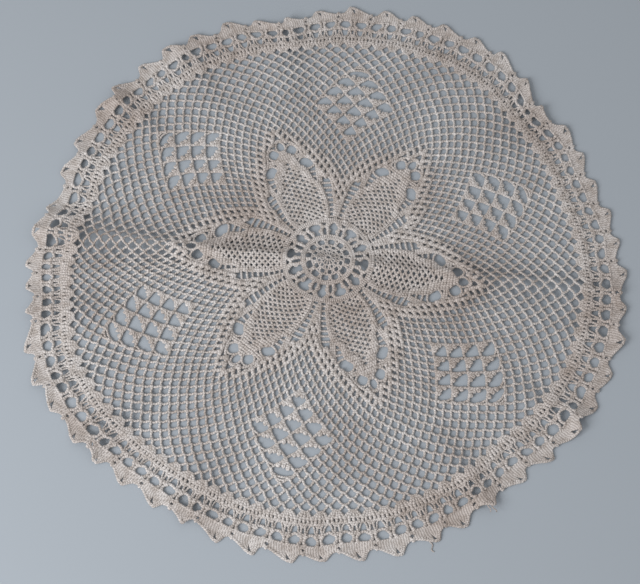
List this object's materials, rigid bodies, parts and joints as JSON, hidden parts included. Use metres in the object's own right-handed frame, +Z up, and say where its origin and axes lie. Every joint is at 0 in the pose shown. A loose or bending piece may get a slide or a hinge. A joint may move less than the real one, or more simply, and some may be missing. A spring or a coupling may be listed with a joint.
{
  "type": "crocheted lace doily",
  "caption": "Round crocheted cotton lace doily with a petalled flower, open chain mesh, picot lozenges and a scalloped edge, lying flat as a table cover.",
  "frame": {"origin": "middle of the rosette on the underside, where the lace lies on the table", "axes": "+Z up out of the table through the lace; +X to the right and +Y away from the viewer in the pictured view"},
  "size_m": [0.3635, 0.3631, 0.0014],
  "materials": {
    "ecru_cotton": "matte twisted crochet cotton, ecru with a faint pinkish age tint"
  },
  "bodies": {
    "root": {"center_rosette": "ecru_cotton", "treble_round": "ecru_cotton", "petal_base_round": "ecru_cotton", "petal_1": "ecru_cotton", "petal_2": "ecru_cotton", "petal_3": "ecru_cotton", "petal_4": "ecru_cotton", "petal_5": "ecru_cotton", "petal_6": "ecru_cotton", "petal_arch_1": "ecru_cotton", "petal_arch_2": "ecru_cotton", "petal_arch_3": "ecru_cotton", "petal_arch_4": "ecru_cotton", "petal_arch_5": "ecru_cotton", "petal_arch_6": "ecru_cotton", "mesh_ground_1": "ecru_cotton", "mesh_ground_2": "ecru_cotton", "mesh_ground_3": "ecru_cotton", "mesh_ground_4": "ecru_cotton", "mesh_ground_5": "ecru_cotton", "mesh_ground_6": "ecru_cotton", "picot_lozenge_1": "ecru_cotton", "picot_lozenge_2": "ecru_cotton", "picot_lozenge_3": "ecru_cotton", "picot_lozenge_4": "ecru_cotton", "picot_lozenge_5": "ecru_cotton", "picot_lozenge_6": "ecru_cotton", "fan_round_1": "ecru_cotton", "fan_round_2": "ecru_cotton", "fan_round_3": "ecru_cotton", "fan_round_4": "ecru_cotton", "fan_round_5": "ecru_cotton", "fan_round_6": "ecru_cotton", "eyelet_round_1": "ecru_cotton", "eyelet_round_2": "ecru_cotton", "eyelet_round_3": "ecru_cotton", "eyelet_round_4": "ecru_cotton", "eyelet_round_5": "ecru_cotton", "eyelet_round_6": "ecru_cotton", "scallop_edge_1": "ecru_cotton", "scallop_edge_2": "ecru_cotton", "scallop_edge_3": "ecru_cotton", "scallop_edge_4": "ecru_cotton", "scallop_edge_5": "ecru_cotton", "scallop_edge_6": "ecru_cotton"}
  },
  "joints": []
}
